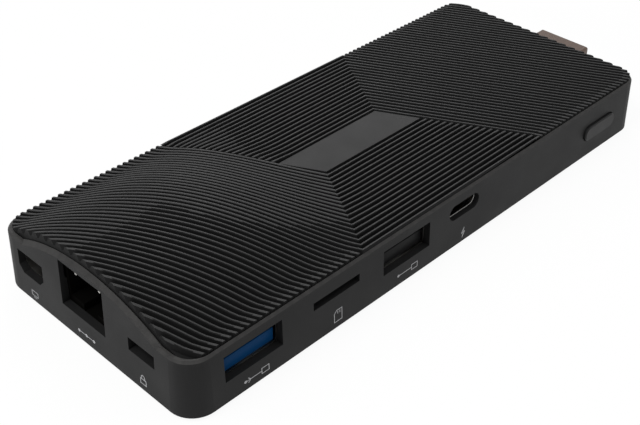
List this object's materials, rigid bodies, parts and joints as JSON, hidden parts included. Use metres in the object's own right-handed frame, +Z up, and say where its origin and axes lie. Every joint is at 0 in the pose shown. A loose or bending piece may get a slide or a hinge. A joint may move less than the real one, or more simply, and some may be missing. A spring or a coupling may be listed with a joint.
{
  "type": "stick computer",
  "caption": "Pocket stick computer: drafted plastic case with a swirl of cooling ribs over a raised network socket, side sockets, and a display plug on one end.",
  "frame": {"origin": "middle of the overall box, at the soles of the feet", "axes": "+X along the length towards the display plug, -Y towards the side with the USB sockets and the button, +Z up out of the ribs"},
  "size_m": [0.1464, 0.056, 0.0199],
  "materials": {
    "case": "fine moulded texture, charcoal",
    "badge": "smooth satin, mid grey, bare",
    "rubber": "matt black",
    "screw_steel": "zinc-plated",
    "circuit_board": "green solder mask",
    "chip_black": "moulded black",
    "socket_metal": "nickel-plated sheet",
    "plug_metal": "dull rose plating",
    "contact_gold": "gold-plated",
    "insulator_black": "black",
    "insulator_blue": "dark blue",
    "plate_steel": "plain",
    "spreader_metal": "milled",
    "pad_grey": "soft grey",
    "coil_grey": "moulded ferrite",
    "capacitor_tan": "moulded",
    "lead_grey": "insulated lead"
  },
  "bodies": {
    "base": {"antenna_leads": "lead_grey", "antennas": "socket_metal", "badge_plate": "badge", "battery_clip": "socket_metal", "board_screws": "screw_steel", "bottom_cover": "case", "bottom_screws": "screw_steel", "capacitors": "capacitor_tan", "card_contacts": "contact_gold", "card_cover": "socket_metal", "card_spring": "socket_metal", "card_tray": "insulator_black", "clock_battery": "socket_metal", "crystals": "socket_metal", "display_contacts": "contact_gold", "display_shell": "socket_metal", "display_tongue": "insulator_black", "feet": "rubber", "heat_spreader": "spreader_metal", "housing": "case", "lock_plate": "plate_steel", "main_board": "circuit_board", "memory_chips": "chip_black", "network_chip": "chip_black", "network_contacts": "contact_gold", "network_housing": "insulator_black", "network_shield": "socket_metal", "network_transformer": "chip_black", "plug_contacts": "contact_gold", "plug_holder": "insulator_black", "plug_insulator": "insulator_black", "plug_shell": "plug_metal", "power_chips": "chip_black", "power_coils": "coil_grey", "processor": "chip_black", "radio_board": "circuit_board", "radio_shield": "socket_metal", "ribbed_cover": "case", "storage_chip": "chip_black", "switch_body": "insulator_black", "switch_frame": "socket_metal", "thermal_pad": "pad_grey", "usb2_contacts": "contact_gold", "usb2_shell": "socket_metal", "usb2_tongue": "insulator_black", "usb3_contacts": "contact_gold", "usb3_shell": "socket_metal", "usb3_tongue": "insulator_blue", "usb_c_contacts": "contact_gold", "usb_c_shell": "socket_metal", "usb_c_tongue": "insulator_black"},
    "button": {"power_button": "case", "switch_plunger": "insulator_black"},
    "slider": {"card_slider": "insulator_black"}
  },
  "joints": [
    {"name": "button_press", "type": "slide", "parent": "base", "child": "button", "axis": [0, 1, 0], "range_m": [0, 0.00035], "stiffness_N_per_m": 1500, "springref_m": -0.0003},
    {"name": "card_push", "type": "slide", "parent": "base", "child": "slider", "axis": [0, 1, 0], "range_m": [0, 0.0012], "stiffness_N_per_m": 150, "springref_m": -0.0008, "deforming": ["card_spring"]}
  ]
}
